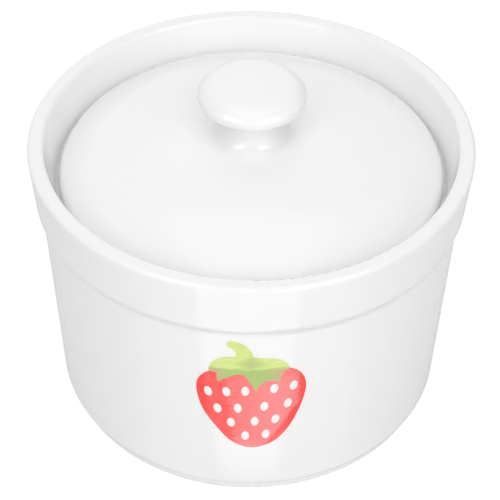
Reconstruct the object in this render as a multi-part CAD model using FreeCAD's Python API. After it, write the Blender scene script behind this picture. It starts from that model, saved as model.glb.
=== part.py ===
"""Covered custard cup of glazed porcelain: cup, inset lid and a fired-on berry print.

All sizes are in millimetres. The cup stands on z = 0, its axis is the z axis and
the print faces -y.
"""
import FreeCAD
import Part
import math
import os

# Cup, outside; radii are those of the corners before they are rounded
RIM_RADIUS = 44.08
CUP_HEIGHT = 60.65
RIM_WIDTH = 3.08
RIM_OUTER_ROUND = 0.8
RIM_INNER_ROUND = 0.8
COLLAR_HEIGHT = 11.55
COLLAR_TAPER = 0.93         # the collar is this much narrower at its lower end
COLLAR_ROUND = 2.5
COLLAR_STEP = 1.0           # how far the collar stands out of the wall
COLLAR_STEP_HEIGHT = 1.3
COLLAR_STEP_ROUND = 2.5
WALL_TAPER = 2.1
WALL_LOW_ROUND = 2.2

# Cup, foot ring and the recess inside it
FOOT_HEIGHT = 1.95
FOOT_INSET = 1.15           # foot ring behind the lower end of the wall
TURN_IN_HEIGHT = 0.8        # underside between foot ring and wall
FOOT_TAPER = 0.2
FOOT_WIDTH = 3.1
FOOT_EDGE_ROUND = 0.5
FOOT_ROOT_ROUND = 0.25
RECESS_DEPTH = 2.2
RECESS_TAPER = 0.6
RECESS_ROUND = 1.0

# Cup, inside
LEDGE_DEPTH = 9.15          # ledge for the lid, below the rim
SEAT_WALL_TAPER = 2.1
SEAT_WALL_ROUND = 0.8
LEDGE_WIDTH = 2.3
LEDGE_EDGE_ROUND = 0.5
BORE_TAPER = 0.9
FLOOR_THICKNESS = 3.8
FLOOR_ROUND = 9.0

# Lid, dome
LID_CLEARANCE = 0.6         # between the lid and the wall round the ledge
LID_EDGE_LAND = 0.9         # widest point of the lid above its seat
LID_EDGE_ARC = 2.4
SHOULDER_ARC = 22.0
SHOULDER_TILT = 36.0        # degrees of surface tilt where the edge rounding starts
DOME_ARC = 120.0
SEAT_WIDTH = 2.9            # flat ring that rests on the ledge, with its roundings
SEAT_OUTER_ROUND = 0.45
SEAT_INNER_ROUND = 0.6
SEAT_BEVEL = 0.6
LID_THICKNESS = 3.8

# Lid, knob
KNOB_RADIUS = 10.5
KNOB_HEIGHT = 12.25         # crown of the knob above the dome
CROWN_TILT = 9.0
BROW_ARC = 4.5
BROW_TILT = 50.0
KNOB_EDGE_ARC = 1.1
KNOB_LOW_DROP = 1.3         # lower edge of the head below its widest point
KNOB_LOW_ROUND = 0.9
UNDERSIDE_FALL = 0.5        # underside of the head, lower at the neck
NECK_RADIUS = 5.2
NECK_UPPER_ROUND = 3.0
NECK_LOWER_ARC = 5.2

# Print: colour film on the wall
FILM_THICKNESS = 0.1
PRINT_HEIGHT = 30.83        # tip of the berry to the top of the stalk
PRINT_DROP = 2.1            # top of the stalk below the upper end of the wall
PRINT_TURN = 0.6            # middle of the print, right of the front
# Sizes of the drawing, before it is scaled to the print's height
SEED_HALF_WIDTH = 0.78
SEED_HALF_HEIGHT = 1.42
SEED_ROW_RISE = 0.11        # rows climb gently to the right
SEED_LEAN = 1.1             # degrees of lean for each mm off the middle
# Heights of the drawing are above the berry's tip, sideways places from its middle
SEED_ROWS = (
    (16.9, (-8.2, -4.7, -1.1, 4.4, 8.1)),
    (12.0, (-6.4, -2.5, 2.6, 7.1)),
    (7.8, (-3.8, 0.8, 4.8)),
    (3.6, (-1.0, 3.0)),
)
BERRY_OUTLINE = (
    (0, 22.9), (4.7, 23.6), (8.5, 22.2), (10.3, 18.9), (10.2, 14.6), (8.8, 9.1),
    (6.7, 4.4), (3.9, 1.2), (0, 0), (-3.4, 1.5), (-6.4, 5.4), (-9.1, 10.3),
    (-10.3, 15.0), (-10.1, 19.2), (-8.1, 21.7), (-4.6, 22.4),
)
# Calyx: corners joined by bowed edges, (x, z, bow of the edge that follows)
CALYX_CORNERS = (
    (-8.1, 22.2, -0.1), (-6.5, 21.7, -0.15), (-6.3, 19.2, 0.1), (-3.4, 21.3, 0.4),
    (-1.2, 21.1, 0.1), (1.0, 16.7, 0.3), (2.7, 19.7, 0.35), (5.6, 19.2, 0.65),
    (7.2, 23.0, -0.45), (5.0, 25.7, -0.1), (0.4, 26.4, -0.1), (-3.6, 26.4, -1.3),
)
STALK_PATH = ((-1.4, 25.7), (-1.8, 28.3), (-3.8, 29.9))
STALK_HALF_WIDTH = 1.8      # at its root
STALK_NARROWING = 0.5       # share of its width lost at the tip
STALK_TIP_REACH = 0.5       # the stalk's top above its path's end, in half widths

# Heights and radii that follow
WALL_TOP_RADIUS = RIM_RADIUS - COLLAR_TAPER - COLLAR_STEP
WALL_TOP_Z = CUP_HEIGHT - COLLAR_HEIGHT - COLLAR_STEP_HEIGHT
WALL_LOW_RADIUS = WALL_TOP_RADIUS - WALL_TAPER
WALL_LOW_Z = FOOT_HEIGHT + TURN_IN_HEIGHT
FOOT_RADIUS = WALL_LOW_RADIUS - FOOT_INSET
LEDGE_Z = CUP_HEIGHT - LEDGE_DEPTH
SEAT_WALL_RADIUS = RIM_RADIUS - RIM_WIDTH - SEAT_WALL_TAPER
BORE_RADIUS = SEAT_WALL_RADIUS - LEDGE_WIDTH
LID_RADIUS = SEAT_WALL_RADIUS - LID_CLEARANCE
DRAWN_HEIGHT = STALK_PATH[-1][1] + STALK_TIP_REACH * STALK_HALF_WIDTH


def at(point):
    """Profile point as a vector."""
    return FreeCAD.Vector(point[0], 0, point[1])


def corner_cut(before, corner, after, rounding):
    """Where an arc of this radius starts, passes and ends in a corner.

    Args:
        before: neighbouring corner on one side, as a vector.
        corner: the corner itself.
        after: neighbouring corner on the other side.
        rounding: radius of the arc; 0 leaves the corner sharp.

    Returns:
        Start, middle and end of the arc.
    """
    if rounding <= 0:
        return corner, corner, corner
    back = (before - corner).normalize()
    forth = (after - corner).normalize()
    half = math.acos(max(-1.0, min(1.0, back.dot(forth)))) / 2
    reach = rounding / math.tan(half)
    middle = corner + (back + forth).normalize() * (rounding / math.sin(half) - rounding)
    return corner + back * reach, middle, corner + forth * reach


def joined(cuts):
    """Arcs at the corners of an outline and the straight lines between them."""
    edges = []
    for i, (start, middle, end) in enumerate(cuts):
        if i and cuts[i - 1][2].distanceToPoint(start) > 1e-6:
            edges.append(Part.makeLine(cuts[i - 1][2], start))
        if start.distanceToPoint(end) > 1e-6:
            edges.append(Part.Arc(start, middle, end).toShape())
    return edges


def rounded_wire(points):
    """Close a polygon in the x-z plane and round its corners.

    Args:
        points: (r, z, corner radius) in order round the outline.

    Returns:
        A closed wire of lines and tangent arcs.
    """
    corners = [at(point) for point in points]
    count = len(points)
    cuts = [corner_cut(corners[i - 1], corners[i], corners[(i + 1) % count], points[i][2])
            for i in range(count)]
    return Part.Wire(joined(cuts) + [Part.makeLine(cuts[-1][2], cuts[0][0])])


def rounded_path(points):
    """Edges of an open path of (r, z, corner radius), rounded between its ends."""
    corners = [at(point) for point in points]
    cuts = [corner_cut(corners[i - 1], corners[i], corners[i + 1], points[i][2])
            for i in range(1, len(points) - 1)]
    return joined([(corners[0],) * 3] + cuts + [(corners[-1],) * 3])


def revolved(wire):
    """Turn a closed half profile round the z axis into a solid."""
    solid = Part.Face(wire).revolve(FreeCAD.Vector(0, 0, 0), FreeCAD.Vector(0, 0, 1), 360)
    if solid.Volume < 0:
        solid.reverse()
    return solid


def polar(centre, radius, tilt):
    """Point at a distance from a centre, `tilt` degrees round from straight up."""
    angle = math.radians(tilt)
    return (centre[0] + radius * math.sin(angle), centre[1] + radius * math.cos(angle))


def profile_arc(centre, radius, tilt_from, tilt_to):
    """Arc of a profile about a centre, between two directions from straight up."""
    middle = (tilt_from + tilt_to) / 2
    return Part.Arc(at(polar(centre, radius, tilt_from)), at(polar(centre, radius, middle)),
                    at(polar(centre, radius, tilt_to))).toShape()


def make_cup():
    """The cup: foot ring, wall, collar, rim, ledge for the lid and floor."""
    foot_bottom_radius = FOOT_RADIUS - FOOT_TAPER
    foot_inner_radius = foot_bottom_radius - FOOT_WIDTH
    floor_z = RECESS_DEPTH + FLOOR_THICKNESS
    return revolved(rounded_wire((
        (0, RECESS_DEPTH, 0),
        (foot_inner_radius - RECESS_TAPER, RECESS_DEPTH, RECESS_ROUND),
        (foot_inner_radius, 0, FOOT_EDGE_ROUND),
        (foot_bottom_radius, 0, FOOT_EDGE_ROUND),
        (FOOT_RADIUS, FOOT_HEIGHT, FOOT_ROOT_ROUND),
        (WALL_LOW_RADIUS, WALL_LOW_Z, WALL_LOW_ROUND),
        (WALL_TOP_RADIUS, WALL_TOP_Z, COLLAR_STEP_ROUND),
        (RIM_RADIUS - COLLAR_TAPER, CUP_HEIGHT - COLLAR_HEIGHT, COLLAR_ROUND),
        (RIM_RADIUS, CUP_HEIGHT, RIM_OUTER_ROUND),
        (RIM_RADIUS - RIM_WIDTH, CUP_HEIGHT, RIM_INNER_ROUND),
        (SEAT_WALL_RADIUS, LEDGE_Z, SEAT_WALL_ROUND),
        (BORE_RADIUS, LEDGE_Z, LEDGE_EDGE_ROUND),
        (BORE_RADIUS - BORE_TAPER, floor_z, FLOOR_ROUND),
        (0, floor_z, 0),
    )))


def dome_centres():
    """Centres of the lid's three top arcs and the tilt where the first two meet.

    The widest point lies LID_EDGE_LAND above the ledge, and each arc runs into the
    next without a corner.
    """
    edge = (LID_RADIUS - LID_EDGE_ARC, LEDGE_Z + LID_EDGE_LAND)
    shoulder = polar(edge, LID_EDGE_ARC - SHOULDER_ARC, SHOULDER_TILT)
    dome_tilt = math.degrees(math.asin(shoulder[0] / (DOME_ARC - SHOULDER_ARC)))
    dome = polar(shoulder, SHOULDER_ARC - DOME_ARC, dome_tilt)
    return edge, shoulder, dome, dome_tilt


def make_lid():
    """The lid: shallow dome, rounded edge, hollow underside and button knob."""
    edge, shoulder, dome, dome_tilt = dome_centres()
    apex_z = dome[1] + DOME_ARC

    # knob, from the crown outwards and down to the dome
    rim = (KNOB_RADIUS - KNOB_EDGE_ARC, 0)
    brow = polar(rim, KNOB_EDGE_ARC - BROW_ARC, BROW_TILT)
    crown_arc = BROW_ARC + brow[0] / math.sin(math.radians(CROWN_TILT))
    crown = polar(brow, BROW_ARC - crown_arc, CROWN_TILT)
    lift = apex_z + KNOB_HEIGHT - crown[1] - crown_arc
    rim, brow, crown = ((x, z + lift) for x, z in (rim, brow, crown))
    head_low_z = rim[1] - KNOB_LOW_DROP
    neck_top_z = head_low_z - UNDERSIDE_FALL
    lower_arc = min(NECK_LOWER_ARC, neck_top_z - NECK_UPPER_ROUND - apex_z)
    lower_x = NECK_RADIUS + lower_arc
    root_tilt = math.degrees(math.asin(lower_x / (DOME_ARC + lower_arc)))
    lower = polar(dome, DOME_ARC + lower_arc, root_tilt)

    # hollow underside
    seat_inner = (LID_RADIUS - SEAT_WIDTH, LEDGE_Z)
    hollow_edge = (seat_inner[0] - SEAT_BEVEL, LEDGE_Z + SEAT_BEVEL)
    hollow_top = (0, apex_z - LID_THICKNESS)
    rise = hollow_top[1] - hollow_edge[1]
    hollow_arc = (hollow_edge[0] ** 2 + rise ** 2) / (2 * rise)
    hollow = (0, hollow_top[1] - hollow_arc)
    hollow_tilt = math.degrees(math.asin(hollow_edge[0] / hollow_arc))

    outline = Part.Wire([
        profile_arc(crown, crown_arc, 0, CROWN_TILT),
        profile_arc(brow, BROW_ARC, CROWN_TILT, BROW_TILT),
        profile_arc(rim, KNOB_EDGE_ARC, BROW_TILT, 90),
        *rounded_path((
            (KNOB_RADIUS, rim[1], 0),
            (KNOB_RADIUS, head_low_z, KNOB_LOW_ROUND),
            (NECK_RADIUS, neck_top_z, NECK_UPPER_ROUND),
            (NECK_RADIUS, lower[1], 0),
        )),
        profile_arc(lower, lower_arc, -90, root_tilt - 180),
        profile_arc(dome, DOME_ARC, root_tilt, dome_tilt),
        profile_arc(shoulder, SHOULDER_ARC, dome_tilt, SHOULDER_TILT),
        profile_arc(edge, LID_EDGE_ARC, SHOULDER_TILT, 90),
        Part.makeLine(at((LID_RADIUS, edge[1])), at((LID_RADIUS, LEDGE_Z))),
        Part.makeLine(at((LID_RADIUS, LEDGE_Z)), at(seat_inner)),
        Part.makeLine(at(seat_inner), at(hollow_edge)),
        profile_arc(hollow, hollow_arc, hollow_tilt, 0),
        Part.makeLine(at(hollow_top), at((0, apex_z + KNOB_HEIGHT))),
    ])
    lid = revolved(outline)
    lid = lid.makeFillet(SEAT_OUTER_ROUND, ring_edges(lid, LID_RADIUS, LEDGE_Z))
    return lid.makeFillet(SEAT_INNER_ROUND, ring_edges(lid, seat_inner[0], LEDGE_Z))


def ring_edges(solid, radius, height):
    """Edges of a solid that are full circles of this radius at this height."""
    found = []
    for edge in solid.Edges:
        if edge.Degenerated or not isinstance(edge.Curve, Part.Circle):
            continue
        if abs(edge.Curve.Radius - radius) < 1e-4 and abs(edge.Curve.Center.z - height) < 1e-4:
            found.append(edge)
    return found


class Drawing:
    """The print's drawing, placed on a flat plane inside the cup's front.

    Attributes:
        scale: the print's height over the drawing's own height.
        tip_z: height of the berry's tip.
        plane_y: where the flat plane stands.
    """

    def __init__(self):
        self.scale = PRINT_HEIGHT / DRAWN_HEIGHT
        self.tip_z = WALL_TOP_Z - PRINT_DROP - PRINT_HEIGHT
        self.plane_y = -WALL_LOW_RADIUS / 2

    def point(self, x, z):
        """Point of the drawing in the part's frame."""
        return FreeCAD.Vector(PRINT_TURN + self.scale * x, self.plane_y,
                              self.tip_z + self.scale * z)

    def prism(self, wire):
        """Solid that carries an outline forwards through the wall."""
        return Part.Face(wire).extrude(FreeCAD.Vector(0, -WALL_TOP_RADIUS, 0))

    def smooth(self, points, closed):
        """Curve through plain points of the drawing."""
        curve = Part.BSplineCurve()
        curve.interpolate([self.point(x, z) for x, z in points], PeriodicFlag=closed)
        return curve.toShape()

    def berry(self):
        """Broad-shouldered fruit, a little straighter on its left side."""
        return self.prism(Part.Wire([self.smooth(BERRY_OUTLINE, True)]))

    def calyx(self):
        """Three leaves and their crown as bowed edges between corners."""
        edges = []
        for i, (x, z, bow) in enumerate(CALYX_CORNERS):
            end_x, end_z, _ = CALYX_CORNERS[(i + 1) % len(CALYX_CORNERS)]
            length = math.hypot(end_x - x, end_z - z)
            middle = self.point((x + end_x) / 2 - bow * (end_z - z) / length,
                                (z + end_z) / 2 + bow * (end_x - x) / length)
            edges.append(Part.Arc(self.point(x, z), middle, self.point(end_x, end_z)).toShape())
        return self.prism(Part.Wire(edges))

    def stalk(self):
        """Bent stalk, a little wider at its root, with a rounded tip."""
        spine = Part.Arc(*(at(point) for point in STALK_PATH))
        first, last = spine.FirstParameter, spine.LastParameter
        left, right = [], []
        steps = 4
        for i in range(steps + 1):
            share = i / steps
            middle = spine.value(first + (last - first) * share)
            along = spine.tangent(first + (last - first) * share)[0]
            half = STALK_HALF_WIDTH * (1 - STALK_NARROWING * share)
            left.append((middle.x - along.z * half, middle.z + along.x * half))
            right.append((middle.x + along.z * half, middle.z - along.x * half))
        along = spine.tangent(last)[0] * STALK_HALF_WIDTH * (1 - STALK_NARROWING)
        end = spine.value(last)
        tip = Part.Arc(self.point(*left[-1]), self.point(end.x + along.x, end.z + along.z),
                       self.point(*right[-1]))
        return self.prism(Part.Wire([
            self.smooth(left, False), tip.toShape(), self.smooth(right[::-1], False),
            Part.makeLine(self.point(*right[0]), self.point(*left[0]))]))

    def seed(self, x, z):
        """Upright oval that leans a little with its distance from the middle."""
        oval = Part.Ellipse(FreeCAD.Vector(0, 0, 0), self.scale * SEED_HALF_HEIGHT,
                            self.scale * SEED_HALF_WIDTH)
        wire = Part.Wire([oval.toShape()])
        wire.rotate(FreeCAD.Vector(0, 0, 0), FreeCAD.Vector(1, 0, 0), 90)
        wire.rotate(FreeCAD.Vector(0, 0, 0), FreeCAD.Vector(0, 1, 0), 90 + SEED_LEAN * x)
        wire.translate(self.point(x, z + SEED_ROW_RISE * x))
        return self.prism(wire)


def film_sleeve():
    """Thin sleeve that lies on the wall between its two roundings."""
    low = at((WALL_LOW_RADIUS, WALL_LOW_Z))
    high = at((WALL_TOP_RADIUS, WALL_TOP_Z))
    collar = at((RIM_RADIUS - COLLAR_TAPER, CUP_HEIGHT - COLLAR_HEIGHT))
    foot = at((FOOT_RADIUS, FOOT_HEIGHT))
    low, high = (corner_cut(foot, low, high, WALL_LOW_ROUND)[2],
                 corner_cut(low, high, collar, COLLAR_STEP_ROUND)[0])
    out = FreeCAD.Vector(FILM_THICKNESS, 0, 0)
    return revolved(Part.makePolygon([low, high, high + out, low + out, low]))


def make_print():
    """Red fruit with bare ovals for the seeds, and the green leaves above it."""
    sleeve = film_sleeve()
    drawing = Drawing()
    leaves = drawing.calyx().fuse(drawing.stalk()).removeSplitter()
    seeds = Part.makeCompound([drawing.seed(x, z) for z, row in SEED_ROWS for x in row])
    fruit = drawing.berry().cut(leaves).cut(seeds)
    return single(sleeve.common(fruit)), single(sleeve.common(leaves))


def single(shape):
    """The one solid that a cut leaves."""
    if len(shape.Solids) != 1:
        raise ValueError("the outline leaves %d solids" % len(shape.Solids))
    return shape.Solids[0]


def main():
    """Build each node and write it as its own file."""
    os.makedirs("parts", exist_ok=True)
    fruit, leaves = make_print()
    nodes = {"cup": make_cup(), "lid": make_lid(),
             "print_fruit": fruit, "print_leaves": leaves}
    for name, shape in nodes.items():
        if not shape.isValid():
            raise ValueError("%s is not a valid solid" % name)
        shape.exportStep("parts/%s.step" % name)
        print("%s volume %.2f" % (name, shape.Volume))


main()
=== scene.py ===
"""Dresses the covered custard cup: glazed porcelain, the fired-on berry print and the studio.

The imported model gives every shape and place, in metres, with the cup's axis on z and
the print facing -y. This script adds the finishes, the floor, the lights and the camera.
"""
import logging
import math
from dataclasses import dataclass
from enum import Enum

import bmesh
import bpy
from mathutils import Matrix, Vector


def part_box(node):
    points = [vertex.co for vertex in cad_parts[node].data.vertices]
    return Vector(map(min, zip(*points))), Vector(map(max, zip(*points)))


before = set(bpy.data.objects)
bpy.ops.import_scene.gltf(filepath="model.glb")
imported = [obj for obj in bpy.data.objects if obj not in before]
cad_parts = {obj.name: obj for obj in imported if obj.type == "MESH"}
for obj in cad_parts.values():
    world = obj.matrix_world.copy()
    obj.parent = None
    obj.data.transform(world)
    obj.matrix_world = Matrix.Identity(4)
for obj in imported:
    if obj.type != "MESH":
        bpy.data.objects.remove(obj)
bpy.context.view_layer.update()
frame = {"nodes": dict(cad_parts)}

LOG = logging.getLogger("covered_cup")
MM = 0.001
GLAZE_IOR = 1.52
GLAZE_RELIEF = 0.04 * MM    # height that a relief value of 1 stands for
CUP_MIDDLE = 50 * MM        # height that the lights are aimed at
WHITE = (1.0, 1.0, 1.0, 1.0)


class Finish(Enum):
    """Finishes of the set, by the material slot that each one fills."""

    PORCELAIN = "porcelain"
    PRINT_RED = "print_red"
    PRINT_GREEN = "print_green"


def linear(red: float, green: float, blue: float) -> tuple[float, float, float, float]:
    """Turn a display colour into the linear colour that shaders take.

    Args:
        red: red from 0 to 255.
        green: green from 0 to 255.
        blue: blue from 0 to 255.

    Returns:
        Linear red, green, blue and an alpha of 1.
    """
    parts = []
    for value in (red, green, blue):
        share = value / 255
        parts.append(share / 12.92 if share <= 0.04045 else ((share + 0.055) / 1.055) ** 2.4)
    return (parts[0], parts[1], parts[2], 1.0)


def dimmed(colour: tuple, share: float) -> tuple[float, float, float, float]:
    """Darken a linear colour to a share of its brightness, with an alpha of 1."""
    return (share * colour[0], share * colour[1], share * colour[2], 1.0)


class Bench:
    """Adds nodes to one node tree and wires them together."""

    def __init__(self, tree: bpy.types.NodeTree) -> None:
        """Keep the tree; new nodes are laid out in a row."""
        self.tree = tree
        self.count = 0

    def add(self, kind: str, inputs: dict | None = None, **settings) -> bpy.types.Node:
        """Add a node.

        Args:
            kind: the node's type name.
            inputs: values or output sockets for its inputs, by name or number.
            settings: properties of the node.

        Returns:
            The new node.
        """
        node = self.tree.nodes.new(kind)
        node.location = (190 * (self.count % 12), -260 * (self.count // 12))
        self.count += 1
        for name, value in settings.items():
            setattr(node, name, value)
        for name, value in (inputs or {}).items():
            self.feed(node.inputs[name], value)
        return node

    def feed(self, socket: bpy.types.NodeSocket, value: object) -> None:
        """Link an output to an input socket, or set the input's own value.

        Args:
            socket: the input.
            value: an output socket, or a plain value.
        """
        if isinstance(value, bpy.types.NodeSocket):
            self.tree.links.new(value, socket)
        else:
            socket.default_value = value

    def math(self, operation: str, first: object, second: object = 0.0,
             clamp: bool = False) -> bpy.types.NodeSocket:
        """Combine two numbers.

        Args:
            operation: name of the sum.
            first: first number or socket.
            second: second number or socket.
            clamp: whether the result is kept between 0 and 1.

        Returns:
            The result's socket.
        """
        node = self.add("ShaderNodeMath", {0: first, 1: second}, operation=operation,
                        use_clamp=clamp)
        return node.outputs[0]

    def step(self, value: object, start: float, end: float, low: float = 0.0,
             high: float = 1.0) -> bpy.types.NodeSocket:
        """Smooth step between two values.

        Args:
            value: the number that is read.
            start: where the step begins.
            end: where it ends.
            low: result before the start.
            high: result after the end.

        Returns:
            The result's socket.
        """
        node = self.add("ShaderNodeMapRange",
                        {"Value": value, "From Min": start, "From Max": end,
                         "To Min": low, "To Max": high}, interpolation_type="SMOOTHSTEP")
        return node.outputs["Result"]

    def mix(self, share: object, first: object, second: object) -> bpy.types.NodeSocket:
        """Mix two colours.

        Args:
            share: how much of the second colour shows.
            first: first colour or socket.
            second: second colour or socket.

        Returns:
            The mixed colour's socket.
        """
        node = self.add("ShaderNodeMix", {0: share, 6: first, 7: second}, data_type="RGBA")
        return node.outputs[2]

    def noise(self, place: object, scale: float, detail: float = 2.0,
              roughness: float = 0.5) -> bpy.types.NodeSocket:
        """Soft noise at a place.

        Args:
            place: coordinates that it is read at.
            scale: how fine it is.
            detail: how many finer layers it has.
            roughness: how strong the finer layers are.

        Returns:
            The socket of a value from 0 to 1.
        """
        node = self.add("ShaderNodeTexNoise", {"Vector": place, "Scale": scale,
                                               "Detail": detail, "Roughness": roughness})
        return node.outputs["Fac"]

    def parts(self, place: object) -> bpy.types.bpy_prop_collection:
        """Split a place into its X, Y and Z sockets."""
        return self.add("ShaderNodeSeparateXYZ", {0: place}).outputs

    def relief(self, shader: bpy.types.Node, height: object) -> None:
        """Give a shader the glaze's relief.

        Args:
            shader: the surface shader.
            height: relief value or socket.
        """
        bump = self.add("ShaderNodeBump", {"Strength": 1.0, "Distance": GLAZE_RELIEF,
                                           "Height": height})
        self.feed(shader.inputs["Normal"], bump.outputs["Normal"])


class GroupPort(Enum):
    """Kinds of socket that a shared effect has."""

    NUMBER = "NodeSocketFloat"
    PLACE = "NodeSocketVector"


def new_group(
        name: str, takes: dict[str, tuple[GroupPort, float | None]], gives: list[str],
) -> tuple[bpy.types.NodeTree, Bench, bpy.types.Node, bpy.types.Node]:
    """Start a shader node group with named sockets.

    Args:
        name: the group's name.
        takes: input names with their kind and first value.
        gives: names of the numbers that it puts out.

    Returns:
        The tree, its bench, its input node and its output node.
    """
    tree = bpy.data.node_groups.new(name, "ShaderNodeTree")
    for label, (port, first) in takes.items():
        socket = tree.interface.new_socket(label, in_out="INPUT", socket_type=port.value)
        if first is not None:
            socket.default_value = first
    for label in gives:
        tree.interface.new_socket(label, in_out="OUTPUT", socket_type=GroupPort.NUMBER.value)
    bench = Bench(tree)
    return tree, bench, bench.add("NodeGroupInput"), bench.add("NodeGroupOutput")


class SharedEffects:
    """Shader node groups that are built once and placed by the finishes.

    Attributes:
        wave_scale: noise scale of the melt's slow waves.
        peel_scale: noise scale of the fine orange peel.
        drift_scale: noise scale of the wandering gloss.
    """

    wave_scale: float = 55.0
    peel_scale: float = 620.0
    drift_scale: float = 140.0

    def __init__(self) -> None:
        """Build each group once."""
        self.glaze_flow = self._glaze_flow()
        self.ring_band = self._ring_band()

    def _glaze_flow(self) -> bpy.types.NodeTree:
        """Glaze relief: slow waves of the melt, fine orange peel, gloss that wanders.

        Returns:
            The group's tree.
        """
        tree, bench, taken, given = new_group(
            "glaze_flow",
            {"Place": (GroupPort.PLACE, None), "Wave": (GroupPort.NUMBER, 1.0),
             "Peel": (GroupPort.NUMBER, 1.0), "Gloss": (GroupPort.NUMBER, 0.05),
             "Gloss Spread": (GroupPort.NUMBER, 0.04)},
            ["Height", "Roughness"])
        place = taken.outputs["Place"]
        wave = bench.math("MULTIPLY", bench.noise(place, self.wave_scale, 1.0),
                          taken.outputs["Wave"])
        peel = bench.math("MULTIPLY", bench.noise(place, self.peel_scale, 2.0),
                          taken.outputs["Peel"])
        bench.feed(given.inputs["Height"], bench.math("ADD", wave, peel))
        wander = bench.step(bench.noise(place, self.drift_scale, 3.0), 0.35, 0.75)
        drift = bench.math("MULTIPLY", wander, taken.outputs["Gloss Spread"])
        bench.feed(given.inputs["Roughness"],
                   bench.math("ADD", drift, taken.outputs["Gloss"]))
        return tree

    def _ring_band(self) -> bpy.types.NodeTree:
        """Mask that is 1 on a ring round the z axis and fades over its width.

        Returns:
            The group's tree.
        """
        tree, bench, taken, given = new_group(
            "ring_band",
            {"Place": (GroupPort.PLACE, None), "Radius": (GroupPort.NUMBER, 0.04),
             "Height": (GroupPort.NUMBER, 0.05), "Width": (GroupPort.NUMBER, 0.001)},
            ["Mask"])
        parts = bench.parts(taken.outputs["Place"])
        across = bench.math("ADD", bench.math("MULTIPLY", parts["X"], parts["X"]),
                            bench.math("MULTIPLY", parts["Y"], parts["Y"]))
        radial = bench.math("SUBTRACT", bench.math("SQRT", across), taken.outputs["Radius"])
        upward = bench.math("SUBTRACT", parts["Z"], taken.outputs["Height"])
        away = bench.math("SQRT", bench.math("ADD", bench.math("MULTIPLY", radial, radial),
                                             bench.math("MULTIPLY", upward, upward)))
        share = bench.math("DIVIDE", away, taken.outputs["Width"])
        fall = bench.math("SUBTRACT", 1.0, share, clamp=True)
        bench.feed(given.inputs["Mask"], bench.math("MULTIPLY", fall, fall))
        return tree

    def place(self, bench: Bench, tree: bpy.types.NodeTree,
              inputs: dict[str, object]) -> bpy.types.Node:
        """Put a group into a material's tree with its own values.

        Args:
            bench: the material's bench.
            tree: the group.
            inputs: values or sockets for its inputs, by name.

        Returns:
            The group's node.
        """
        node = bench.add("ShaderNodeGroup", node_tree=tree)
        for name, value in inputs.items():
            bench.feed(node.inputs[name], value)
        return node


def start_material(
        name: str) -> tuple[bpy.types.Material, Bench, bpy.types.Node, bpy.types.NodeSocket]:
    """Start a node material.

    Args:
        name: the material's name.

    Returns:
        The material, its bench, its surface shader and the object coordinates.
    """
    material = bpy.data.materials.new(name)
    material.use_nodes = True
    material.node_tree.nodes.clear()
    bench = Bench(material.node_tree)
    out = bench.add("ShaderNodeOutputMaterial")
    shader = bench.add("ShaderNodeBsdfPrincipled")
    bench.feed(out.inputs["Surface"], shader.outputs["BSDF"])
    place = bench.add("ShaderNodeTexCoord").outputs["Object"]
    return material, bench, shader, place


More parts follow.
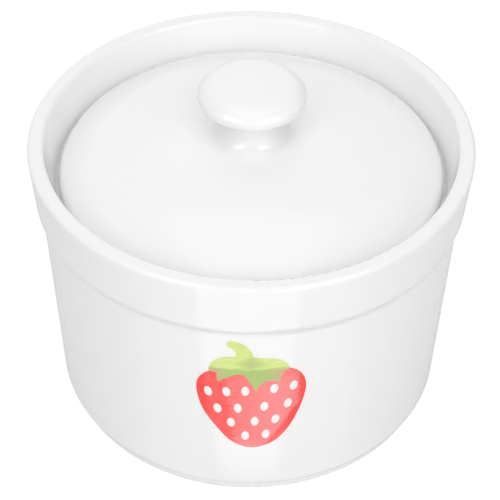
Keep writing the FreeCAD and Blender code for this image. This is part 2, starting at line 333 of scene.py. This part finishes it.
@dataclass(frozen=True)
class PorcelainFinish:
    """White porcelain under a clear glaze, bare on the foot ring's bearing face.

    Attributes:
        body: colour of the glazed body.
        pooled_and_shaded: tint of glaze gathered in a corner, darkened further as painted shade
            in the crease.
        bare: colour of the unglazed foot.
        fleck: colour of the few iron flecks.
        bare_height: furthest up the foot ring that the glaze was wiped off, in metres.
        bare_wobble: how much lower the wiping ends in places, in metres.
        bare_soft: height over which the glaze sets in above that, in metres.
        pool_and_shade_rings: radius, height and width of each corner that gathers glaze and gets
            painted shade, in metres.
        pool_and_shade_share: how much of the tint and painted shade shows in the corner's middle.
        cloud_scale: noise scale of the body's faint clouds.
        cloud_dim: brightness of a cloud as a share of the body's.
        gloss: roughness of the smoothest glaze.
        gloss_spread: how much rougher the dullest glaze is.
        peel: strength of the orange peel beside the waves.
        grit_scale: noise scale of the bare foot's grain.
        grit_dim: brightness of a dark grain as a share of the bare foot's.
        bare_rough: how much rougher the bare foot is.
        fleck_scale: cell scale of the flecks.
        fleck_size: radius of a fleck and of its soft edge, in cells.
        fleck_rarity: share of the cells that have none.
        fleck_share: how much of the fleck's colour shows.
        pinhole: place of the one open pinhole, in metres.
        pinhole_size: its radius and that of its soft edge, in metres.
    """

    body: tuple = (0.93, 0.93, 0.927, 1.0)
    pooled_and_shaded: tuple = (0.82, 0.83, 0.82, 1.0)
    bare: tuple = (0.72, 0.70, 0.66, 1.0)
    fleck: tuple = (0.30, 0.27, 0.24, 1.0)
    bare_height: float = 0.45 * MM
    bare_wobble: float = 0.25 * MM
    bare_soft: float = 0.12 * MM
    pool_and_shade_rings: tuple = ((42.2 * MM, 48.3 * MM, 2.1 * MM), (39.2 * MM, 51.7 * MM, 1.2 * MM),
                    (7.6 * MM, 62.4 * MM, 2.2 * MM), (39.3 * MM, 2.0 * MM, 0.7 * MM))
    pool_and_shade_share: float = 0.6
    cloud_scale: float = 38.0
    cloud_dim: float = 0.985
    gloss: float = 0.06
    gloss_spread: float = 0.04
    peel: float = 0.02
    grit_scale: float = 5200.0
    grit_dim: float = 0.86
    bare_rough: float = 0.55
    fleck_scale: float = 85.0
    fleck_size: tuple = (0.010, 0.018)
    fleck_rarity: float = 0.93
    fleck_share: float = 0.45
    pinhole: tuple = (16.5 * MM, 37.5 * MM, 56.5 * MM)
    pinhole_size: tuple = (0.22 * MM, 0.40 * MM)

    def build(self, effects: SharedEffects) -> bpy.types.Material:
        """Make the material.

        Args:
            effects: the shared node groups.

        Returns:
            The porcelain material.
        """
        material, bench, shader, place = start_material(Finish.PORCELAIN.value + "_glazed")
        flow = effects.place(bench, effects.glaze_flow,
                             {"Place": place, "Wave": 1.0, "Peel": self.peel,
                              "Gloss": self.gloss, "Gloss Spread": self.gloss_spread})
        cloud = bench.step(bench.noise(place, self.cloud_scale, 3.0), 0.3, 0.8, 0.0, 0.35)
        colour = bench.mix(cloud, self.body, dimmed(self.body, self.cloud_dim))
        # darker tint in the corners: gathered glaze, darkened further as painted shade in the
        # creases
        for radius, height, width in self.pool_and_shade_rings:
            band = effects.place(bench, effects.ring_band,
                                 {"Place": place, "Radius": radius, "Height": height,
                                  "Width": width})
            share = bench.math("MULTIPLY", band.outputs["Mask"], self.pool_and_shade_share)
            colour = bench.mix(share, colour, self.pooled_and_shaded)
        colour = bench.mix(self._flecks(bench, place), colour, self.fleck)
        foot = self._foot(bench, place)
        grit = bench.noise(place, self.grit_scale, 4.0, 0.7)
        bare = bench.mix(bench.step(grit, 0.35, 0.8), self.bare,
                         dimmed(self.bare, self.grit_dim))
        bench.feed(shader.inputs["Base Color"], bench.mix(foot, colour, bare))
        rough = bench.math("ADD", flow.outputs["Roughness"],
                           bench.math("MULTIPLY", foot, self.bare_rough), clamp=True)
        bench.feed(shader.inputs["Roughness"], rough)
        grain = bench.math("MULTIPLY", bench.math("MULTIPLY", grit, foot), 0.1)
        bench.relief(shader, bench.math("ADD", flow.outputs["Height"], grain))
        shader.inputs["IOR"].default_value = GLAZE_IOR
        return material

    def _foot(self, bench: Bench, place: bpy.types.NodeSocket) -> bpy.types.NodeSocket:
        """Where the glaze was wiped off the foot ring.

        Args:
            bench: the material's bench.
            place: object coordinates.

        Returns:
            Mask that is 1 on the bare face.
        """
        wobble = bench.math("MULTIPLY", bench.noise(place, 420.0), self.bare_wobble)
        return bench.step(bench.math("ADD", bench.parts(place)["Z"], wobble),
                          self.bare_height, self.bare_height + self.bare_soft, 1.0, 0.0)

    def _flecks(self, bench: Bench, place: bpy.types.NodeSocket) -> bpy.types.NodeSocket:
        """Sparse specks in the glaze, and the one pinhole.

        Args:
            bench: the material's bench.
            place: object coordinates.

        Returns:
            Share of the fleck's colour.
        """
        cells = bench.add("ShaderNodeTexVoronoi", {"Vector": place, "Scale": self.fleck_scale})
        small = bench.step(cells.outputs["Distance"], *self.fleck_size, 1.0, 0.0)
        chance = bench.add("ShaderNodeSeparateColor", {0: cells.outputs["Color"]}).outputs
        rare = bench.math("GREATER_THAN", chance["Red"], self.fleck_rarity)
        speck = bench.math("MULTIPLY", bench.math("MULTIPLY", small, rare), self.fleck_share)
        away = bench.add("ShaderNodeVectorMath", {0: place, 1: self.pinhole},
                         operation="DISTANCE").outputs["Value"]
        hole = bench.step(away, *self.pinhole_size, 0.9, 0.0)
        return bench.math("MAXIMUM", speck, hole)


@dataclass(frozen=True)
class Strokes:
    """How the brush went: noise that is stretched along a direction.

    Attributes:
        turn: direction of the strokes, in degrees above level.
        long: noise scale along a stroke, for millimetres.
        fine: noise scale across it.
    """

    turn: float
    long: float
    fine: float


@dataclass(frozen=True)
class PrintSheet:
    """Where the print lies, which turns object coordinates into the drawing's own.

    Attributes:
        middle: sideways place of the drawing's middle, in metres.
        tip: height of the berry's tip, in metres.
    """

    middle: float
    tip: float

    def read(self, bench: Bench, place: bpy.types.NodeSocket,
             ) -> tuple[bpy.types.NodeSocket, bpy.types.NodeSocket]:
        """Sideways and upward place on the drawing.

        Args:
            bench: the material's bench.
            place: object coordinates.

        Returns:
            The two sockets, in millimetres from the berry's tip.
        """
        parts = bench.parts(place)
        side = bench.math("MULTIPLY", bench.math("SUBTRACT", parts["X"], self.middle), 1 / MM)
        rise = bench.math("MULTIPLY", bench.math("SUBTRACT", parts["Z"], self.tip), 1 / MM)
        return side, rise

    def draw(self, bench: Bench, side: object, rise: object,
             strokes: Strokes) -> bpy.types.NodeSocket:
        """Lay brush strokes.

        Args:
            bench: the material's bench.
            side: sideways place in millimetres.
            rise: upward place in millimetres.
            strokes: how the brush went.

        Returns:
            Noise from 0 to 1.
        """
        plane = bench.add("ShaderNodeCombineXYZ", {0: side, 1: rise}).outputs[0]
        turned = bench.add("ShaderNodeVectorRotate",
                           {"Vector": plane, "Angle": math.radians(-strokes.turn)},
                           rotation_type="Z_AXIS").outputs[0]
        drawn = bench.add("ShaderNodeVectorMath",
                          {0: turned, 1: (strokes.long, strokes.fine, 1.0)},
                          operation="MULTIPLY").outputs[0]
        return bench.noise(drawn, 1.0, 3.0, 0.55)


@dataclass(frozen=True)
class EnamelFinish:
    """What both print colours share: enamel fired on the glaze, so nearly as glossy.

    Attributes:
        gloss: roughness of the smoothest places.
        gloss_spread: how much rougher the dullest places are.
        peel: strength of the orange peel beside the waves.
    """

    gloss: float = 0.08
    gloss_spread: float = 0.06
    peel: float = 0.05

    def surface(self, bench: Bench, effects: SharedEffects, shader: bpy.types.Node,
                place: bpy.types.NodeSocket) -> None:
        """Wire gloss and relief into the shader.

        Args:
            bench: the material's bench.
            effects: the shared node groups.
            shader: the surface shader.
            place: object coordinates.
        """
        flow = effects.place(bench, effects.glaze_flow,
                             {"Place": place, "Wave": 1.0, "Peel": self.peel,
                              "Gloss": self.gloss, "Gloss Spread": self.gloss_spread})
        bench.feed(shader.inputs["Roughness"], flow.outputs["Roughness"])
        bench.relief(shader, flow.outputs["Height"])
        shader.inputs["IOR"].default_value = GLAZE_IOR


@dataclass(frozen=True)
class FruitFinish(EnamelFinish):
    """Strawberry red, washed thin in the middle and full at the sides.

    Lines on the drawing are a slope and a sideways start at the berry's tip, in
    millimetres.

    Attributes:
        full: colour where the paint is thick.
        washed: colour where it is thin.
        pale: colour of the lightest dry strokes.
        strokes: how the brush went.
        ragged: how far the strokes pull the borders about, in millimetres.
        left_line: line that the full colour reaches from the left.
        right_line: line that it reaches from the right.
        right_limit: furthest sideways place of the right line, in millimetres.
        top: heights over which the paint thickens below the leaves, in millimetres.
        fade_right: sideways places over which the wash thins out, in millimetres.
        fade_tip: heights over which it thins out towards the tip, in millimetres.
    """

    full: tuple = linear(255, 58, 52)
    washed: tuple = linear(255, 102, 100)
    pale: tuple = linear(255, 132, 132)
    strokes: Strokes = Strokes(-24.0, 0.4, 3.0)
    ragged: float = 7.0
    left_line: tuple = (-0.09, -2.9)
    right_line: tuple = (0.5, 2.5)
    right_limit: float = 9.0
    top: tuple = (19.0, 23.5)
    fade_right: tuple = (-4.0, 4.5)
    fade_tip: tuple = (6.0, 0.0)

    def build(self, effects: SharedEffects, sheet: PrintSheet) -> bpy.types.Material:
        """Make the fruit's material.

        Args:
            effects: the shared node groups.
            sheet: where the print lies.

        Returns:
            The red material.
        """
        material, bench, shader, place = start_material(Finish.PRINT_RED.value + "_wash")
        side, rise = sheet.read(bench, place)
        feather = sheet.draw(bench, side, rise, self.strokes)
        ragged = bench.math("MULTIPLY", bench.math("SUBTRACT", feather, 0.5), self.ragged)
        share = self._thick(bench, side, rise, ragged)
        # between the full sides the paint thins out to the right and towards the tip
        wash = bench.mix(bench.step(feather, 0.45, 0.75, 0.0, 0.4), self.washed, self.pale)
        faded = bench.math("MAXIMUM", bench.step(side, *self.fade_right, 0.0, 0.8),
                           bench.step(rise, *self.fade_tip, 0.0, 0.9))
        wash = bench.mix(faded, wash, self.pale)
        colour = bench.mix(share, wash, self.full)
        mottle = bench.step(bench.noise(place, 900.0, 3.0), 0.35, 0.8, 0.0, 0.10)
        bench.feed(shader.inputs["Base Color"], bench.mix(mottle, colour, self.pale))
        self.surface(bench, effects, shader, place)
        return material

    def _thick(self, bench: Bench, side: object, rise: object,
               ragged: object) -> bpy.types.NodeSocket:
        """Where the paint is thick: at the left, in a strip at the right and at the top.

        Args:
            bench: the material's bench.
            side: sideways place in millimetres.
            rise: upward place in millimetres.
            ragged: how far the border is pulled about here, in millimetres.

        Returns:
            Share of the full colour.
        """
        slope, start = self.left_line
        left_line = bench.math("ADD", bench.math("MULTIPLY", rise, slope), start)
        left = bench.math("SUBTRACT", left_line, bench.math("ADD", side, ragged))
        slope, start = self.right_line
        right_line = bench.math("ADD", bench.math("MULTIPLY", rise, slope), start)
        right_line = bench.math("MINIMUM", right_line, self.right_limit)
        pulled = bench.math("ADD", side, bench.math("MULTIPLY", ragged, 0.3))
        right = bench.math("SUBTRACT", pulled, right_line)
        sides = bench.math("MAXIMUM", bench.step(left, -0.5, 0.6),
                           bench.step(right, -0.4, 0.6, 0.0, 0.95))
        top = bench.step(bench.math("ADD", rise, ragged), *self.top, 0.0, 0.5)
        return bench.math("MAXIMUM", sides, top)


@dataclass(frozen=True)
class LeafFinish(EnamelFinish):
    """Yellow-green leaves that darken where they overlap the fruit.

    Attributes:
        light: colour of leaves and stalk on bare glaze.
        pale: colour of their lightest strokes.
        deep: colour over the fruit and at the stalk's root.
        dry: brownish colour where thin green lies on red.
        strokes: how the brush went.
        root_height: height of the stalk's root above the berry's tip, in millimetres.
        fruit_edge: heights between which the fruit below ends, in millimetres.
        dry_right: sideways places over which the right leaf turns dry, in millimetres.
        dry_left: sideways places over which the left leaf does, in millimetres.
        dry_rise: heights over which those ends turn drier still, in millimetres.
    """

    light: tuple = linear(212, 230, 130)
    pale: tuple = linear(230, 242, 168)
    deep: tuple = linear(164, 190, 98)
    dry: tuple = linear(204, 172, 128)
    strokes: Strokes = Strokes(8.0, 0.22, 1.1)
    root_height: float = 24.6
    fruit_edge: tuple = (22.4, 23.6)
    dry_right: tuple = (2.6, 5.5)
    dry_left: tuple = (-4.6, -6.6)
    dry_rise: tuple = (19.0, 23.2)

    def build(self, effects: SharedEffects, sheet: PrintSheet) -> bpy.types.Material:
        """Make the leaves' material.

        Args:
            effects: the shared node groups.
            sheet: where the print lies.

        Returns:
            The green material.
        """
        material, bench, shader, place = start_material(Finish.PRINT_GREEN.value + "_wash")
        side, rise = sheet.read(bench, place)
        brush = sheet.draw(bench, side, rise, self.strokes)
        colour = bench.mix(bench.step(brush, 0.5, 0.72, 0.0, 0.9), self.light, self.pale)
        colour = bench.mix(self._root(bench, side, rise), colour, self.deep)
        pull = bench.math("MULTIPLY", bench.math("SUBTRACT", brush, 0.5), 1.6)
        edge = bench.math("ADD", rise, pull)
        over = bench.step(edge, *self.fruit_edge, 0.88, 0.0)
        colour = bench.mix(over, colour, self.deep)
        ends = bench.math("MAXIMUM", bench.step(side, *self.dry_right),
                          bench.step(side, *self.dry_left))
        thin = bench.math("MULTIPLY", ends, bench.step(edge, *self.dry_rise, 0.5, 0.9))
        colour = bench.mix(bench.math("MULTIPLY", thin, over), colour, self.dry)
        bench.feed(shader.inputs["Base Color"], colour)
        self.surface(bench, effects, shader, place)
        return material

    def _root(self, bench: Bench, side: object, rise: object) -> bpy.types.NodeSocket:
        """Deeper green round the stalk's root.

        Args:
            bench: the material's bench.
            side: sideways place in millimetres.
            rise: upward place in millimetres.

        Returns:
            Share of the deep colour.
        """
        upward = bench.math("ABSOLUTE", bench.math("SUBTRACT", rise, self.root_height))
        away = bench.math("ADD", bench.math("MULTIPLY", bench.math("ABSOLUTE", side), 0.45),
                          bench.math("MULTIPLY", upward, 0.55))
        return bench.step(away, 0.2, 1.9, 0.7, 0.0)


@dataclass
class CoveredCup:
    """The cup with its lid and print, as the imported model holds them.

    Attributes:
        glazed: nodes of bare glazed porcelain.
        fruit: node of the red print.
        leaves: node of the green print.
        print_middle: sideways place of the print's middle, in metres.
    """

    glazed: tuple = ("cup", "lid")
    fruit: str = "print_fruit"
    leaves: str = "print_leaves"
    print_middle: float = 0.6 * MM

    def dress(self, nodes: dict[str, bpy.types.Object], effects: SharedEffects) -> list[str]:
        """Give every node its finish.

        Args:
            nodes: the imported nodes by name.
            effects: the shared node groups.

        Returns:
            The names of the dressed nodes.
        """
        low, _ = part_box(self.fruit)
        sheet = PrintSheet(self.print_middle, low.z)
        porcelain = PorcelainFinish().build(effects)
        for name in self.glazed:
            self._assign(nodes[name], porcelain)
        self._assign(nodes[self.fruit], FruitFinish().build(effects, sheet))
        self._assign(nodes[self.leaves], LeafFinish().build(effects, sheet))
        return [*self.glazed, self.fruit, self.leaves]

    @staticmethod
    def _assign(node: bpy.types.Object, material: bpy.types.Material) -> None:
        """Fill every material slot of a node with one finish."""
        for slot in node.material_slots:
            slot.material = material


def bearing(azimuth: float, elevation: float) -> tuple[float, float, float]:
    """Direction from the cup.

    Args:
        azimuth: degrees round from the front, to the right.
        elevation: degrees up from level.

    Returns:
        The direction as a vector of length 1.
    """
    turn, rise = math.radians(azimuth), math.radians(elevation)
    return (math.sin(turn) * math.cos(rise), -math.cos(turn) * math.cos(rise), math.sin(rise))


@dataclass(frozen=True)
class RoomLobe:
    """A broad soft brightening of the white room in one direction.

    Attributes:
        name: what it stands for.
        towards: the direction that it is brightest in, as a vector of length 1.
        spread: power of the cosine; higher is narrower.
        level: radiance that it adds at its middle.
    """

    name: str
    towards: tuple
    spread: float
    level: float


@dataclass
class WhiteRoom:
    """The room's even light with its brighter sides.

    Attributes:
        even: radiance that comes from everywhere.
        shown: radiance that the camera sees past the floor.
        lobes: the brighter directions.
    """

    even: float = 0.335
    shown: float = 1.0
    lobes: tuple = (
        RoomLobe("back_high", bearing(180, 52), 8.0, 0.24),
        RoomLobe("front_low", bearing(0, 12), 6.0, 0.50),
        RoomLobe("right_low", bearing(45, 12), 6.0, 0.74),
        RoomLobe("left_low", bearing(-45, 12), 6.0, 0.33),
        RoomLobe("back_low", bearing(180, 12), 6.0, 0.86),
        RoomLobe("back_left_low", bearing(-135, 12), 6.0, 0.50),
    )

    def build(self) -> bpy.types.World:
        """Make the world.

        Returns:
            The world, which the scene uses.
        """
        world = bpy.data.worlds.new("white_room")
        world.use_nodes = True
        world.node_tree.nodes.clear()
        bench = Bench(world.node_tree)
        out = bench.add("ShaderNodeOutputWorld")
        place = bench.add("ShaderNodeTexCoord").outputs["Generated"]
        level = self.even
        for lobe in self.lobes:
            facing = bench.add("ShaderNodeVectorMath", {0: place, 1: lobe.towards},
                               operation="DOT_PRODUCT").outputs["Value"]
            shape = bench.math("POWER", bench.math("MAXIMUM", facing, 0.0), lobe.spread)
            level = bench.math("ADD", level, bench.math("MULTIPLY", shape, lobe.level))
            LOG.info("brightened the room at %s", lobe.name)
        path = bench.add("ShaderNodeLightPath").outputs
        level = bench.math("MAXIMUM", level,
                           bench.math("MULTIPLY", path["Is Camera Ray"], self.shown))
        shade = bench.add("ShaderNodeBackground", {"Color": WHITE, "Strength": level})
        bench.feed(out.inputs["Surface"], shade.outputs[0])
        bpy.context.scene.world = world
        return world


@dataclass(frozen=True)
class SoftPanel:
    """A rectangular soft light that faces the cup.

    Attributes:
        name: what it is.
        place: its middle, in metres.
        width: across, in metres.
        length: the other way, in metres.
        level: radiance of its face.
        flat: whether it faces straight down rather than the cup.
        mirrored: whether the glaze mirrors it.
        lights: whether it lights the cup's body.
    """

    name: str
    place: tuple
    width: float
    length: float
    level: float
    flat: bool = False
    mirrored: bool = True
    lights: bool = True

    def build(self) -> bpy.types.Object:
        """Make the light.

        Returns:
            The light, which the camera doesn't see.
        """
        data = bpy.data.lights.new(self.name, "AREA")
        data.shape = "RECTANGLE"
        data.size, data.size_y = self.width, self.length
        data.energy = self.level * self.width * self.length * math.pi
        light = bpy.data.objects.new(self.name, data)
        bpy.context.scene.collection.objects.link(light)
        down = Vector((0.0, 0.0, -1.0))
        aim = down if self.flat else Vector((0.0, 0.0, CUP_MIDDLE)) - Vector(self.place)
        light.matrix_world = (Matrix.Translation(self.place)
                              @ aim.to_track_quat("-Z", "Y").to_matrix().to_4x4())
        light.visible_camera = False
        light.visible_glossy = self.mirrored
        light.visible_diffuse = self.lights
        return light


@dataclass(frozen=True)
class PaintedFloorGlow:
    """Painted glow on the board before the cup: a wedge of emission in the floor's surface, no
    lamp, which only the glaze mirrors as a painted reflection.

    Its sides are lines: a slope and a sideways start, in metres, over the way ahead
    of the cup's axis.

    Attributes:
        level: radiance that it adds.
        right_line: slope and start of its right side.
        left_line: slope and start of its left side.
        soft: half the width of its soft sides, in metres.
        near: where it begins, in metres ahead.
        far: where it fades out, in metres ahead.
    """

    level: float = 0.95
    right_line: tuple = (0.62, -20 * MM)
    left_line: tuple = (-0.70, 25 * MM)
    soft: float = 1.5 * MM
    near: tuple = (42 * MM, 47 * MM)
    far: tuple = (110 * MM, 150 * MM)

    def wire(self, bench: Bench, place: bpy.types.NodeSocket) -> bpy.types.NodeSocket:
        """Brightness of the wedge.

        Args:
            bench: the floor material's bench.
            place: object coordinates of the floor.

        Returns:
            Radiance at that place.
        """
        parts = bench.parts(place)
        ahead = bench.math("MULTIPLY", parts["Y"], -1.0)
        right, left = (bench.math("ADD", bench.math("MULTIPLY", ahead, slope), start)
                       for slope, start in (self.right_line, self.left_line))
        inside = bench.math(
            "MULTIPLY",
            bench.step(bench.math("SUBTRACT", right, parts["X"]), -self.soft, self.soft),
            bench.step(bench.math("SUBTRACT", parts["X"], left), -self.soft, self.soft))
        reach = bench.math("MULTIPLY", bench.step(ahead, *self.near),
                           bench.step(ahead, *self.far, self.level, 0.0))
        return bench.math("MULTIPLY", inside, reach)


@dataclass
class Studio:
    """Pale floor, white room and soft panels.

    Attributes:
        floor_reach: half the side of the floor, in metres.
        floor_colour: colour that the floor lends to the cup.
        floor_dim: brightness of the floor's faint clouds as a share of its own.
        floor_gloss: roughness of the floor.
        floor_shown: grey of the floor that the camera sees.
        floor_glow: radiance that the camera sees added to it.
        painted_glow: painted glow on the floor that only the glaze mirrors, as a painted
            reflection.
    """

    floor_reach: float = 6.0
    floor_colour: tuple = (0.86, 0.86, 0.86, 1.0)
    floor_dim: float = 0.96
    floor_gloss: float = 0.07
    floor_shown: float = 0.35
    floor_glow: float = 0.78
    painted_glow: PaintedFloorGlow = PaintedFloorGlow()

    def panels(self) -> tuple[SoftPanel, ...]:
        """List the soft lights.

        Returns:
            The panels, in the order they are hung.
        """
        return (
            SoftPanel("overhead_panel", (0.0, 0.0, 0.9), width=0.56, length=0.90, level=0.57,
                      flat=True),
            SoftPanel("front_panel", self._around(0, 52), width=0.90, length=0.75, level=1.68,
                      mirrored=False),
            SoftPanel("left_panel", self._around(-34, 30), width=0.50, length=0.34, level=1.0),
            SoftPanel("right_panel", self._around(45, 30), width=0.46, length=0.34, level=0.8),
            SoftPanel("left_window", self._around(-46, 46), width=0.50, length=0.20, level=4.2,
                      lights=False),
            SoftPanel("right_window", self._around(46, 46), width=0.46, length=0.20, level=4.0,
                      lights=False),
            SoftPanel("ceiling_window", (0.01, 0.31, 0.9), width=0.28, length=0.18, level=0.8,
                      flat=True, lights=False),
        )

    @staticmethod
    def _around(azimuth: float, elevation: float) -> tuple[float, float, float]:
        """Place one metre from the cup's middle.

        Args:
            azimuth: degrees round from the front, to the right.
            elevation: degrees up from level.

        Returns:
            The place in metres.
        """
        east, south, rise = bearing(azimuth, elevation)
        return (east, south, rise + CUP_MIDDLE)

    def build(self) -> None:
        """Make floor, room and lights."""
        self._floor()
        WhiteRoom().build()
        for panel in self.panels():
            panel.build()
            LOG.info("hung %s", panel.name)

    def _floor(self) -> None:
        """Lay the floor; it isn't part of the cup."""
        mesh = bpy.data.meshes.new("floor")
        shape = bmesh.new()
        bmesh.ops.create_grid(shape, x_segments=2, y_segments=2, size=self.floor_reach)
        shape.to_mesh(mesh)
        shape.free()
        floor = bpy.data.objects.new("floor", mesh)
        bpy.context.scene.collection.objects.link(floor)
        mesh.materials.append(self._floor_finish())

    def _floor_finish(self) -> bpy.types.Material:
        """Pale gloss board that shows nearly white.

        Returns:
            The floor's material.
        """
        material, bench, shader, place = start_material("floor_board")
        cloud = bench.step(bench.noise(place, 3.0, 2.0), 0.3, 0.7, 0.0, 0.04)
        bench.feed(shader.inputs["Base Color"],
                   bench.mix(cloud, self.floor_colour, dimmed(self.floor_colour, self.floor_dim)))
        shader.inputs["Roughness"].default_value = self.floor_gloss
        path = bench.add("ShaderNodeLightPath").outputs
        # painted glow: emission in the floor's own surface, seen only in the glaze's reflections
        shader.inputs["Emission Color"].default_value = WHITE
        bench.feed(shader.inputs["Emission Strength"],
                   bench.math("MULTIPLY", self.painted_glow.wire(bench, place), path["Is Glossy Ray"]))
        lit = bench.add("ShaderNodeBsdfDiffuse", {"Color": dimmed(WHITE, self.floor_shown)})
        glow = bench.add("ShaderNodeEmission", {"Strength": self.floor_glow})
        shown = bench.add("ShaderNodeAddShader", {0: lit.outputs[0], 1: glow.outputs[0]})
        both = bench.add("ShaderNodeMixShader", {0: path["Is Camera Ray"],
                                                 1: shader.outputs[0],
                                                 2: shown.outputs[0]})
        out = next(n for n in material.node_tree.nodes if n.type == "OUTPUT_MATERIAL")
        bench.feed(out.inputs["Surface"], both.outputs[0])
        return material


@dataclass(frozen=True)
class PhotoCamera:
    """Camera at the photograph's angle.

    Attributes:
        back: distance in front of the cup's axis, in metres.
        height: height above the floor, in metres.
        pitch: how far it looks down, in degrees.
        roll: how far it leans, in degrees.
        focal_pixels: focal length in pixels of the frame.
        frame_pixels: width of the frame.
        sensor: width of the sensor, in millimetres.
        clip: nearest and furthest distance that is seen, in metres.
    """

    back: float = 0.26268
    height: float = 0.26881
    pitch: float = 42.23
    roll: float = 0.85
    focal_pixels: float = 1700.0
    frame_pixels: float = 500.0
    sensor: float = 36.0
    clip: tuple = (0.01, 50.0)

    def build(self) -> bpy.types.Object:
        """Make the camera and look through it.

        Returns:
            The camera.
        """
        data = bpy.data.cameras.new("photo_camera")
        data.sensor_width = self.sensor
        data.lens = self.sensor * self.focal_pixels / self.frame_pixels
        data.clip_start, data.clip_end = self.clip
        camera = bpy.data.objects.new("photo_camera", data)
        bpy.context.scene.collection.objects.link(camera)
        look = (Matrix.Rotation(math.radians(90.0 - self.pitch), 4, "X")
                @ Matrix.Rotation(math.radians(self.roll), 4, "Z"))
        camera.matrix_world = Matrix.Translation((0.0, -self.back, self.height)) @ look
        bpy.context.scene.camera = camera
        return camera


def main() -> None:
    """Dress the cup, then build the studio and the camera."""
    logging.basicConfig(level=logging.INFO, format="%(name)s: %(message)s")
    effects = SharedEffects()
    for name in CoveredCup().dress(frame["nodes"], effects):
        LOG.info("dressed %s", name)
    Studio().build()
    PhotoCamera().build()
    bpy.context.scene.view_settings.view_transform = "Standard"


if __name__ == "__main__":
    main()
